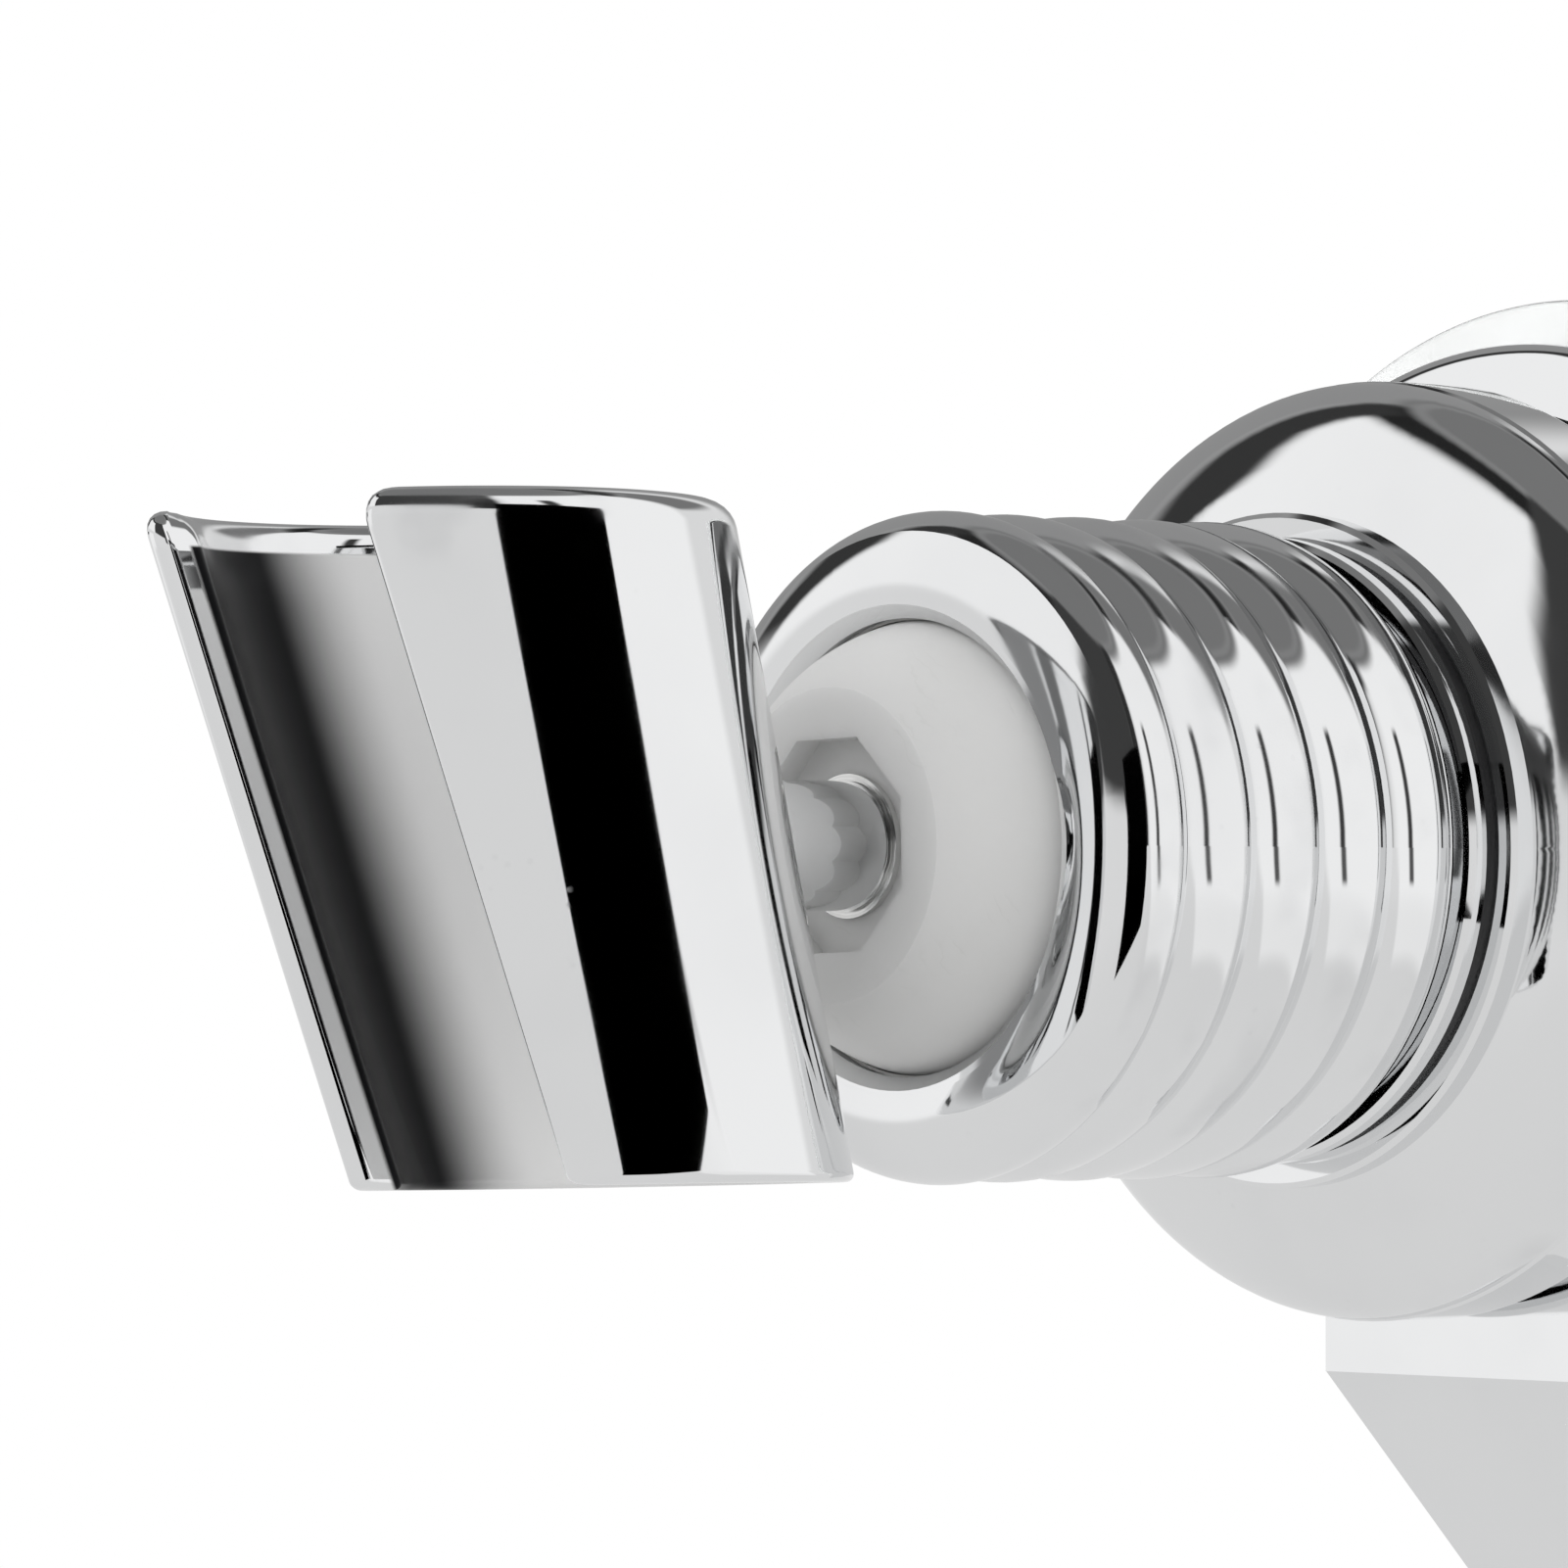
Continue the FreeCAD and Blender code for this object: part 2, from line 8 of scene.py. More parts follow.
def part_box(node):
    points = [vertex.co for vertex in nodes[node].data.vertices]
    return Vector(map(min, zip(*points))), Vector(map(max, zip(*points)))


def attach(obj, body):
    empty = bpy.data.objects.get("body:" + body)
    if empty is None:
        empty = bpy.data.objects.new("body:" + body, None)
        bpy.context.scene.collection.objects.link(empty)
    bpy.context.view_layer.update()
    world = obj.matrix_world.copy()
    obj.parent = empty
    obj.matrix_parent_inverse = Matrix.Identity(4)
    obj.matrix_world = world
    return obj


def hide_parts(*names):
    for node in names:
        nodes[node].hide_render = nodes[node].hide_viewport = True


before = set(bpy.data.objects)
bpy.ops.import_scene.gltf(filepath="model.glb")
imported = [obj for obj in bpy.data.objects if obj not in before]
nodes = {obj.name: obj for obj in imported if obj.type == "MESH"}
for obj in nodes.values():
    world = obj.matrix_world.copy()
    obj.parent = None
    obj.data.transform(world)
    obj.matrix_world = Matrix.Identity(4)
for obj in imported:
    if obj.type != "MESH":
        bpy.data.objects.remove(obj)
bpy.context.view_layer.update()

print("frame loaded:", len(nodes), "nodes")


# A socket in a shader tree. Sums, differences and products of wires add Math nodes.
class Wire:
    def __init__(self, tree, socket=None):
        self.tree = tree
        self.socket = socket

    # Any other node: its settings are set first, then the values or links of its sockets
    def add(self, kind, settings=None, inputs=None, output=0):
        node = self.tree.nodes.new("ShaderNode" + kind)
        for key, value in (settings or {}).items():
            setattr(node, key, value)
        for key, value in (inputs or {}).items():
            if isinstance(value, Wire):
                self.tree.links.new(value.socket, node.inputs[key])
            else:
                node.inputs[key].default_value = value
        return Wire(self.tree, node.outputs[output]) if node.outputs else node

    # Another output of the same node
    def other(self, output):
        return Wire(self.tree, self.socket.node.outputs[output])

    def math(self, operation, *values):
        return self.add("Math", {"operation": operation}, dict(enumerate(values)))

    def __add__(self, value):
        return self.math("ADD", self, value)

    def __sub__(self, value):
        return self.math("SUBTRACT", self, value)

    def __rsub__(self, value):
        return self.math("SUBTRACT", value, self)

    def __mul__(self, value):
        return self.math("MULTIPLY", self, value)

    __radd__ = __add__
    __rmul__ = __mul__

    def toThe(self, power):
        return self.math("POWER", self, power)

    # 0 below low, 1 above high, smooth between
    def between(self, low, high):
        settings = {"interpolation_type": "SMOOTHSTEP", "clamp": True}
        return self.add("MapRange", settings, {0: self, 1: low, 2: high})

    # 1 from low to high, with soft ends
    def band(self, low, high, soft):
        return self.between(low - soft, low + soft) * (1 - self.between(high - soft, high + soft))

    def noise(self, place, scale, detail=3, rough=0.5):
        values = {"Vector": place, "Scale": scale, "Detail": detail, "Roughness": rough}
        return self.add("TexNoise", None, values)

    def blend(self, factor, first, second):
        values = {0: factor, 6: first, 7: second}
        return self.add("Mix", {"data_type": "RGBA"}, values, output=2)


def newMaterial(name):
    material = bpy.data.materials.new(name)
    material.use_nodes = True
    material.node_tree.nodes.clear()
    return material, Wire(material.node_tree)


# Joins the shader's values and the bump into one finished surface. Plain numbers stay on the sockets.
def finishMaterial(wires, shader, height, depth, distance):
    shader["Normal"] = wires.add("Bump", None, {"Strength": depth, "Distance": distance, "Height": height})
    surface = wires.add("BsdfPrincipled", None, shader)
    wires.add("OutputMaterial", None, {"Surface": surface})


# Place on the piece, and the distance from the holder's main axis
def placeAndRadius(wires):
    place = wires.add("TexCoord", None, None, "Object")
    parts = wires.add("SeparateXYZ", None, {"Vector": place})
    x, z = parts.other("X"), parts.other("Z")
    radius = (x * x + z * z).toThe(0.5)
    return place, parts, radius


platedLook = {
    "bright": (0.83, 0.835, 0.84, 1), "dull": (0.72, 0.725, 0.735, 1), "roughness": 0.035,
    "hazeScale": 55, "hazeFrom": 0.42, "hazeTo": 0.75, "haze": 0.05, "hazeDull": 0.3,
    "wornScale": 160, "wornFrom": 0.45, "wornTo": 0.7, "worn": 0.16, "wornDull": 0.4,
    "spotScale": 900, "spotFrom": 0.1, "spotTo": 0.22, "spots": 0.10, "spotDull": 0.15, "spotHeight": 0.004,
    "seldomScale": 130, "seldomFrom": 0.62, "seldomTo": 0.7,
    "rippleScale": 42, "ripple": 0.05, "rippleDistance": 0.0012,
    "grainScale": 2100, "grainHeight": 0.0015,
    "satin": 0.3,      # more roughness in the cradle's bore
}


# Polished plating over moulded plastic: thin haze, dried water spots, a slow ripple,
# and rubbing where hands reach
def plated(name, rubbed=None, bore=None):
    look = platedLook
    material, wires = newMaterial(name)
    place, parts, radius = placeAndRadius(wires)
    haze = wires.noise(place, look["hazeScale"], detail=4).between(look["hazeFrom"], look["hazeTo"])
    cells = wires.add("TexVoronoi", {"feature": "F1"},
                      {"Vector": place, "Scale": look["spotScale"], "Randomness": 1})
    seldom = wires.noise(place, look["seldomScale"], detail=1)
    seldom = seldom.between(look["seldomFrom"], look["seldomTo"])
    spots = (1 - cells.between(look["spotFrom"], look["spotTo"])) * seldom
    rough = haze * look["haze"] + spots * look["spots"]
    dulled = haze * look["hazeDull"] + spots * look["spotDull"]
    if rubbed:
        cloud = wires.noise(place, look["wornScale"]).between(look["wornFrom"], look["wornTo"])
        worn = rubbed(parts, radius) * cloud
        rough = rough + worn * look["worn"]
        dulled = dulled + worn * look["wornDull"]
    rough = rough + look["roughness"]
    dulled = wires.math("MINIMUM", dulled, 1)
    colour, metal = wires.blend(dulled, look["bright"], look["dull"]), 1.0
    # In the cradle's bore: a near-white satin liner, and painted shade as near-black metal towards the slot
    if bore:
        inside, blackAndPaintedShade = bore(parts)
        rough = rough + inside * look["satin"]
        colour = wires.blend(inside, colour, boreLook["light"])
        colour = wires.blend(blackAndPaintedShade, colour, boreLook["blackAndPaintedShade"])
        metal = 1 - inside + blackAndPaintedShade
    height = wires.noise(place, look["rippleScale"], detail=2) + spots * look["spotHeight"]
    height = height + wires.noise(place, look["grainScale"], detail=2) * look["grainHeight"]
    shader = {"Base Color": colour, "Roughness": rough, "Metallic": metal}
    finishMaterial(wires, shader, height, look["ripple"], look["rippleDistance"])
    return material


# Where the plating is rubbed, in metres: from the main axis, or up and down
rubbedLook = {
    "ribsFrom": 0.0184, "ribsTo": 0.0187,
    "domeFrom": 0.0262, "domeTo": 0.0271,
    "leverFrom": -0.041, "leverTo": -0.0445,
    "topFrom": 0.0135, "topTo": 0.0155,
    "bottomFrom": -0.0175, "bottomTo": -0.019,
}


# Where the ribs stand out
def rubbedRibs(parts, radius):
    return radius.between(rubbedLook["ribsFrom"], rubbedLook["ribsTo"])


# On the dome's widest part
def rubbedDome(parts, radius):
    return radius.between(rubbedLook["domeFrom"], rubbedLook["domeTo"])


# Along the lever's tip
def rubbedLever(parts, radius):
    return 1 - parts.other("Z").between(rubbedLook["leverTo"], rubbedLook["leverFrom"])


# On the cradle's two ends, where the hand shower slides in
def rubbedRims(parts, radius):
    z = parts.other("Z")
    top = z.between(rubbedLook["topFrom"], rubbedLook["topTo"])
    return top + (1 - z.between(rubbedLook["bottomTo"], rubbedLook["bottomFrom"]))


boreLook = {
    "out": 0.0814, "slope": 0.302, "roll": 0.035, "taper": 0.06, "radius": 0.0124, "top": 0.0159,
    "sideEdge": 0.0003, "topEdge": 0.0001,
    # The near-white colour is the liner's own. The near-black colour, and its range out from the bore's
    # axis on the next line, are painted shade towards the slot
    "light": (0.97, 0.97, 0.97, 1), "blackAndPaintedShade": (0.012, 0.012, 0.013, 1),
    "paintedShadeFrom": -0.0042, "paintedShadeTo": 0.0026,      # out from the bore's own axis
}


# The cradle's bore below its rolled rim is satin, not mirror plated: a near-white liner, with painted shade
# that turns it darker, to near-black metal, towards the slot
def insideCradle(parts):
    look = boreLook
    z = parts.other("Z")
    out = parts.other("Y") + z * look["slope"] + look["out"]
    side = parts.other("X") + z * look["roll"]
    radius = (side * side + out * out).toThe(0.5) - z * look["taper"]
    inside = 1 - radius.between(look["radius"], look["radius"] + look["sideEdge"])
    inside = inside * (1 - z.between(look["top"] - look["topEdge"], look["top"] + look["topEdge"]))
    # The second mask is where the painted shade lies, towards the slot
    return inside, inside * (out * -1.0).between(look["paintedShadeFrom"], look["paintedShadeTo"])


mouldedLook = {
    "cloudScale": 90, "cloudFrom": 0.4, "cloudTo": 0.75, "cloudTint": 0.5, "roughSpread": 0.08,
    "grainScale": 1900, "grainRough": 0.6, "grainDistance": 0.00012,
    "scratchScale": 420, "scratchBend": 9, "scratchFrom": 0.93, "scratchTo": 0.99,
    "scratchTint": 0.3, "scratchHeight": -0.6,
    "seldomScale": 240, "seldomFrom": 0.55, "seldomTo": 0.7,
}


# Moulded plastic: faint cloud in the colour, fine grain, and a few thin scratches
def moulded(name, colour, soiled, roughness, grain=0.12, extra=None):
    look = mouldedLook
    material, wires = newMaterial(name)
    place, parts, radius = placeAndRadius(wires)
    cloud = wires.noise(place, look["cloudScale"], detail=4).between(look["cloudFrom"], look["cloudTo"])
    fine = wires.noise(place, look["grainScale"], rough=look["grainRough"])
    waves = wires.add("TexWave", {"wave_type": "BANDS", "bands_direction": "DIAGONAL"},
                      {"Vector": place, "Scale": look["scratchScale"], "Distortion": look["scratchBend"],
                       "Detail": 3})
    seldom = wires.noise(place, look["seldomScale"], detail=2)
    seldom = seldom.between(look["seldomFrom"], look["seldomTo"])
    scratches = waves.between(look["scratchFrom"], look["scratchTo"]) * seldom
    tint = wires.blend(cloud * look["cloudTint"] + scratches * look["scratchTint"], colour, soiled)
    rough = cloud * look["roughSpread"] + fine * look["roughSpread"] + roughness
    shader = {"Base Color": tint, "Roughness": rough}
    shader.update(extra or {})
    height = fine + scratches * look["scratchHeight"]
    finishMaterial(wires, shader, height, grain, look["grainDistance"])
    return material


turnedLook = {
    "ringScale": 1500, "ringBend": 1.2, "cloudScale": 140, "cloudFrom": 0.4, "cloudTo": 0.8,
    "cloudTint": 0.7, "roughSpread": 0.14, "grainScale": 2500, "grainHeight": 0.5,
    "depth": 0.15, "distance": 0.00004,
}


# Turned or rolled metal: fine rings about the main axis, and a little tarnish
def turnedMetal(name, colour, tarnish, roughness=0.24):
    look = turnedLook
    material, wires = newMaterial(name)
    place, parts, radius = placeAndRadius(wires)
    rings = wires.add("TexWave", {"wave_type": "RINGS", "rings_direction": "Y"},
                      {"Vector": place, "Scale": look["ringScale"], "Distortion": look["ringBend"],
                       "Detail": 2})
    cloud = wires.noise(place, look["cloudScale"], detail=4).between(look["cloudFrom"], look["cloudTo"])
    tint = wires.blend(cloud * look["cloudTint"], colour, tarnish)
    shader = {"Base Color": tint, "Roughness": cloud * look["roughSpread"] + roughness, "Metallic": 1.0}
    height = rings + wires.noise(place, look["grainScale"], detail=2) * look["grainHeight"]
    finishMaterial(wires, shader, height, look["depth"], look["distance"])
    return material


vinylLook = {
    "clear": (0.93, 0.94, 0.94, 1), "milky": (0.88, 0.89, 0.885, 1), "through": 0.6, "roughness": 0.12,
    "cloudScale": 70, "cloudFrom": 0.4, "cloudTo": 0.7, "cloudRough": 0.06,
    "dustScale": 1400, "dustFrom": 0.66, "dustTo": 0.74, "dustRough": 0.12, "dustHeight": 0.2,
    "depth": 0.05, "distance": 0.0002,
}


# Soft clear vinyl, slightly milky, with dust on it
def clearVinyl(name):
    look = vinylLook
    material, wires = newMaterial(name)
    place, parts, radius = placeAndRadius(wires)
    cloud = wires.noise(place, look["cloudScale"], detail=4).between(look["cloudFrom"], look["cloudTo"])
    dust = wires.noise(place, look["dustScale"], detail=2).between(look["dustFrom"], look["dustTo"])
    shader = {
        "Base Color": wires.blend(cloud, look["clear"], look["milky"]),
        "Roughness": cloud * look["cloudRough"] + dust * look["dustRough"] + look["roughness"],
        "IOR": 1.5, "Transmission Weight": look["through"],
    }
    finishMaterial(wires, shader, cloud + dust * look["dustHeight"], look["depth"], look["distance"])
    return material


translucent = {"Subsurface Weight": 0.7, "Subsurface Scale": 0.0022, "Subsurface Radius": (1, 1, 1)}

# Colour, then its soiled or tarnished tone, roughness and grain
materials = {
    "clear_vinyl": clearVinyl("clearVinyl"),
    "plated_base": plated("platedBase"),
    "plated_ring": plated("platedRing", rubbedLever),
    "plated_dome": plated("platedDome", rubbedDome),
    "plated_housing": plated("platedHousing"),
    "plated_collar": plated("platedCollar", rubbedRibs),
    "plated_cradle": plated("platedCradle", rubbedRims, insideCradle),
    "acetal_white": moulded("acetalWhite", (0.78, 0.78, 0.76, 1), (0.62, 0.61, 0.58, 1), 0.36),
    "acetal_black": moulded("acetalBlack", (0.035, 0.035, 0.037, 1), (0.09, 0.09, 0.09, 1), 0.4),
    "steel_pin": turnedMetal("steelPin", (0.62, 0.61, 0.6, 1), (0.42, 0.41, 0.4, 1)),
    "black_rubber": moulded("blackRubber", (0.022, 0.022, 0.023, 1), (0.06, 0.06, 0.06, 1), 0.62, 0.2),
    "steel_spring": turnedMetal("steelSpring", (0.55, 0.55, 0.55, 1), (0.36, 0.35, 0.34, 1), 0.3),
    "nylon_ball": moulded("nylonBall", (0.86, 0.86, 0.855, 1), (0.78, 0.78, 0.77, 1), 0.46, 0.14,
                          translucent),
    "brass_insert": turnedMetal("brassInsert", (0.72, 0.53, 0.27, 1), (0.46, 0.33, 0.17, 1), 0.26),
    "steel_washer": turnedMetal("steelWasher", (0.74, 0.74, 0.73, 1), (0.55, 0.55, 0.54, 1), 0.16),
    "steel_screw": turnedMetal("steelScrew", (0.66, 0.66, 0.65, 1), (0.47, 0.46, 0.45, 1), 0.22),
}

slotOfNode = {
    "suction_disc": "clear_vinyl", "base_plate": "plated_base", "lock_ring": "plated_ring",
    "cam_ring": "acetal_white", "pull_stud": "steel_pin", "cross_pin": "steel_pin",
    "dome_cover": "plated_dome", "housing_washer": "acetal_black", "socket_housing": "plated_housing",
    "housing_oring": "black_rubber", "disc_spring": "steel_spring", "ball_cup": "acetal_white",
    "front_seat": "acetal_white", "collar_nut": "plated_collar", "ball": "nylon_ball",
    "ball_insert": "brass_insert", "stem_washer": "steel_washer", "end_washer": "steel_washer",
    "lock_nut": "steel_pin", "cradle": "plated_cradle", "cradle_screw": "steel_screw",
}

for name, slot in slotOfNode.items():
    node = nodes[name]
    node.data.materials.clear()
    node.data.materials.append(materials[slot])
print("materials set on", len(slotOfNode), "nodes")


# The cradle's own turn about the ball: the same two angles, in degrees, as in the frame
restLook = {"ball": (0, -0.0493, 0), "tilt": -0.4, "roll": 2.0}


def restTurn(look):
    centre = Matrix.Translation(look["ball"])
    tilt = Matrix.Rotation(math.radians(look["tilt"]), 4, (1, 0, 0))
    roll = Matrix.Rotation(math.radians(look["roll"]), 4, (0, -1, 0))
    return centre @ roll @ tilt @ centre.inverted()


# Turns a finished build into mesh data
def finishMesh(build, name):
    bmesh.ops.recalc_face_normals(build, faces=build.faces)
    mesh = bpy.data.meshes.new(name)
    build.to_mesh(mesh)
    build.free()
    return mesh


# Puts a piece on its body in place of a node
def addPiece(mesh, body, slot, replaced, smoothAngle):
    mesh.validate()
    for polygon in mesh.polygons:
        polygon.use_smooth = True
    piece = bpy.data.objects.new(mesh.name, mesh)
    bpy.context.scene.collection.objects.link(piece)
    bpy.context.view_layer.objects.active = piece
    piece.select_set(True)
    bpy.ops.object.shade_smooth_by_angle(angle=math.radians(smoothAngle))
    piece.select_set(False)
    mesh.materials.append(materials[slot])
    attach(piece, body)
    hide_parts(replaced)


# Joins closed rows of points into a closed ring of faces. Rows all have the same number of points.
def skinRows(build, rows):
    vertices = [[build.verts.new(point) for point in row] for row in rows]
    count = len(rows[0])
    for i in range(len(rows)):
        first, second = vertices[i], vertices[(i + 1) % len(rows)]
        for j in range(count):
            k = (j + 1) % count
            build.faces.new((first[j], first[k], second[k], second[j]))


# A profile of (radius, out) points turned about the main axis
def latheRows(profile, steps):
    rows = []
    for i in range(steps):
        turn = 2 * math.pi * i / steps
        rows.append([(r * math.cos(turn), -out, r * math.sin(turn)) for r, out in profile])
    return rows


# Points on a round about a centre, from one direction to the next
def rounding(centre, radius, fromDegrees, toDegrees, steps):
    points = []
    for i in range(steps + 1):
        turn = math.radians(fromDegrees + (toDegrees - fromDegrees) * i / steps)
        points.append((centre[0] + radius * math.cos(turn), centre[1] + radius * math.sin(turn)))
    return points


cradleLook = {
    "out": 0.0814, "top": 0.0178, "bottom": 0.0186, "topRadius": 0.0158, "bottomRadius": 0.0136,
    "wall": 0.0027, "lean": 16.8, "slot": 0.0164,
    "edgeRound": 0.0008, "edgeSpread": 0.00015, "cornerRound": 0.0021,
    "bottomRound": 0.0005, "topRoundOut": 0.00145, "topRoundIn": 0.0012,
    "flatFrom": 0.08, "flatTo": 0.92,            # where the edge's flat part is divided
    "endShares": (0.0, 0.004, 0.012),            # closer rows at the two ends of the height
    "around": 220, "heightSteps": 36, "roundSteps": 6,
    "stemRadius": 0.0036, "stemBore": 0.0021, "stemStart": 0.05752, "stemChamfer": 0.0002,
    "stemFillet": 0.0008, "stemSunk": 0.0006, "stemSteps": 96, "smoothAngle": 40,
}


# The cradle: a leaning cone wall with a slot, rounded all round its edge, and the stem that it stands on
def makeCradle(look):
    build = bmesh.new()
    height = look["top"] + look["bottom"]
    lean = math.tan(math.radians(look["lean"]))
    wall, half, steps = look["wall"], look["slot"] / 2, look["roundSteps"]
    edge, spread, corner = look["edgeRound"], look["edgeSpread"], look["cornerRound"]
    flats = (look["flatFrom"], look["flatTo"])
    quarter = [math.radians(90 * i / steps) for i in range(steps + 1)]

    def outerRadius(z):
        share = (z + look["bottom"]) / height
        return look["bottomRadius"] + share * (look["topRadius"] - look["bottomRadius"])

    # away is the distance in from the slot's side, share the way round from one side to the other
    def wallPoint(away, share, depth, z):
        radius = outerRadius(z) - depth
        turn = math.asin((half + away) / radius)
        turn += share * 2 * (math.pi - turn)
        centre = look["out"] + z * lean
        return radius * math.sin(turn), -centre - radius * math.cos(turn), z

    # Two rounds and the flat part between them
    def joined(first, second):
        flat = [tuple(a + (b - a) * part for a, b in zip(first[-1], second[0])) for part in flats]
        return first + flat + second

    # The slot's side at one height as (away, depth)
    def slotSide(z):
        outer = outerRadius(z)
        x = half + edge
        far = math.sqrt((outer - edge) ** 2 - x ** 2)
        near = math.sqrt((outer - wall + edge) ** 2 - x ** 2)
        rounds = ((far, math.atan2(far, x), math.pi), (near, math.pi, math.pi + math.atan2(near, x)))
        arcs = []
        for y, start, stop in rounds:
            arc = []
            for i in range(steps + 1):
                turn = start + (stop - start) * i / steps
                place = (x + edge * math.cos(turn), y + edge * math.sin(turn))
                arc.append((place[0] - half, outer - math.hypot(*place)))
            arcs.append(arc)
        return joined(*arcs)

    # A level edge as (how far short of the end, depth)
    def levelEdge(outer, inner):
        first = [(outer * (1 - math.sin(turn)), outer * (1 - math.cos(turn))) for turn in quarter]
        second = [(inner * (1 - math.sin(turn)), wall - inner * (1 - math.cos(turn))) for turn in quarter]
        return joined(first, second[::-1])

    # Goes from an outer value to an inner one across the edge's flat part
    def across(k, outer, inner):
        parts = [0.0] * (steps + 1) + list(flats) + [1.0] * (steps + 1)
        return outer + (inner - outer) * parts[k]

    # Columns round the wall: (corner angle, share)
    columns = [(turn, 0.0) for turn in quarter]
    columns += [(quarter[-1], i / look["around"]) for i in range(1, look["around"])]
    columns += [(turn, 1.0) for turn in reversed(quarter)]
    last = len(columns) - 1
    bottomRound = look["bottomRound"]
    bottom = bottomRound - look["bottom"]
    topEdge = levelEdge(look["topRoundOut"], look["topRoundIn"])
    bottomEdge = levelEdge(bottomRound, bottomRound)
    shares = list(look["endShares"])
    shares += [i / look["heightSteps"] for i in range(1, look["heightSteps"])]
    shares += [1 - share for share in reversed(look["endShares"])]

    def columnAway(turn, side, outer):
        first = side[0][0] if outer else side[-1][0]
        centre = side[0][0] + spread if outer else corner
        return centre - math.cos(turn) * (centre - first)

    def face(outer):
        grid = []
        depth = 0.0 if outer else wall
        short = look["topRoundOut"] if outer else look["topRoundIn"]
        for turn, share in columns:
            top = look["top"] - corner + math.sin(turn) * (corner - short)
            column = []
            for rise in shares:
                z = bottom + (top - bottom) * rise
                away = columnAway(turn, slotSide(z), outer)
                column.append(build.verts.new(wallPoint(away, share, depth, z)))
            grid.append(column)
        for first, second in zip(grid, grid[1:]):
            for j in range(len(shares) - 1):
                build.faces.new((first[j], second[j], second[j + 1], first[j + 1]))
        return grid

    outside, inside = face(True), face(False)

    # A profile across the edge, with the two faces' own points at its ends
    def closeProfile(i, j, points):
        middle = [build.verts.new(point) for point in points[1:-1]]
        return [outside[i][j]] + middle + [inside[i][j]]

    def sideProfile(i, j):
        z = bottom + (look["top"] - corner - bottom) * shares[j]
        share = columns[i][1]
        return closeProfile(i, j, [wallPoint(away, share, depth, z) for away, depth in slotSide(z)])

    def topProfile(i):
        turn, share = columns[i]
        side = slotSide(look["top"] - corner)
        points = []
        for k, (away, depth) in enumerate(side):
            centre = across(k, side[0][0] + spread, corner)
            away = centre - math.cos(turn) * (centre - away)
            depth = depth * math.cos(turn) ** 2 + topEdge[k][1] * math.sin(turn) ** 2
            z = look["top"] - corner + math.sin(turn) * (corner - topEdge[k][0])
            points.append(wallPoint(away, share, depth, z))
        return closeProfile(i, -1, points)

    def bottomProfile(i, fan=quarter[-1]):
        turn, share = columns[i]
        side = slotSide(bottom)
        points = []
        for k, (away, depth) in enumerate(side):
            centre = across(k, columnAway(turn, side, True), columnAway(turn, side, False))
            away = centre - math.cos(fan) * (centre - away)
            depth = depth * math.cos(fan) ** 2 + bottomEdge[k][1] * math.sin(fan) ** 2
            z = bottom - math.sin(fan) * (bottomRound - bottomEdge[k][0])
            points.append(wallPoint(away, share, depth, z))
        return closeProfile(i, 0, points)

    # Once round the edge: up one side of the slot, over the top, down the other side, and back below
    profiles = [sideProfile(0, j) for j in range(len(shares) - 1)]
    profiles += [topProfile(i) for i in range(len(columns))]
    profiles += [sideProfile(last, j) for j in range(len(shares) - 2, -1, -1)]
    profiles += [bottomProfile(last, fan) for fan in quarter[1:]]
    profiles += [bottomProfile(i) for i in range(last - 1, 0, -1)]
    profiles += [bottomProfile(0, fan) for fan in reversed(quarter[1:])]
    for first, second in zip(profiles, profiles[1:] + profiles[:1]):
        for j in range(len(first) - 1):
            corners = []
            for vertex in (first[j], second[j], second[j + 1], first[j + 1]):
                if vertex not in corners:
                    corners.append(vertex)
            build.faces.new(corners)

    # The stem. Its fillet follows the wall's round outer face.
    def wallOut(x, z):
        return look["out"] + z * lean - math.sqrt(outerRadius(z) ** 2 - x * x)

    bore, start, chamfer = look["stemBore"], look["stemStart"], look["stemChamfer"]
    stem, fillet = look["stemRadius"], look["stemFillet"]
    rows = []
    for i in range(look["stemSteps"]):
        turn = 2 * math.pi * i / look["stemSteps"]
        x, z = math.cos(turn), math.sin(turn)
        profile = [(bore, start), (stem - chamfer, start), (stem, start + chamfer)]
        for part in quarter:
            radius = stem + fillet * (1 - math.cos(part))
            profile.append((radius, wallOut(radius * x, radius * z) - fillet * (1 - math.sin(part))))
        widest, sunk = profile[-1][0], profile[-1][1] + look["stemSunk"]
        profile += [(widest, sunk), (bore, sunk)]
        rows.append([(radius * x, -out, radius * z) for radius, out in profile])
    skinRows(build, rows)
    build.transform(restTurn(restLook))
    mesh = finishMesh(build, "cradleShell")
    addPiece(mesh, "cradle", "plated_cradle", "cradle", look["smoothAngle"])


makeCradle(cradleLook)
print("cradle made")


discLook = {
    "radius": 0.0326, "rim": 0.0009, "body": 0.002, "lipStart": 0.0278, "bodyStart": 0.0258,
    "bodyEnd": 0.0212, "footRadius": 0.0094, "footOut": 0.0028,
    "bossRadius": 0.009, "bossOut": 0.0062, "bossChamfer": 0.0003, "holeRadius": 0.0031,
    "hollow": 0.0016, "hollowStart": 0.006, "hollowRadius": 0.022, "hollowBow": 0.0006, "hollowSteps": 12,
    "ridges": 5, "ridgeStart": 0.0234, "ridgePitch": 0.0011, "ridgeShare": 0.9, "ridgeHeight": 0.00012,
    "ridgeSteps": 8, "lipSteps": 8, "steps": 288, "smoothAngle": 35,
}


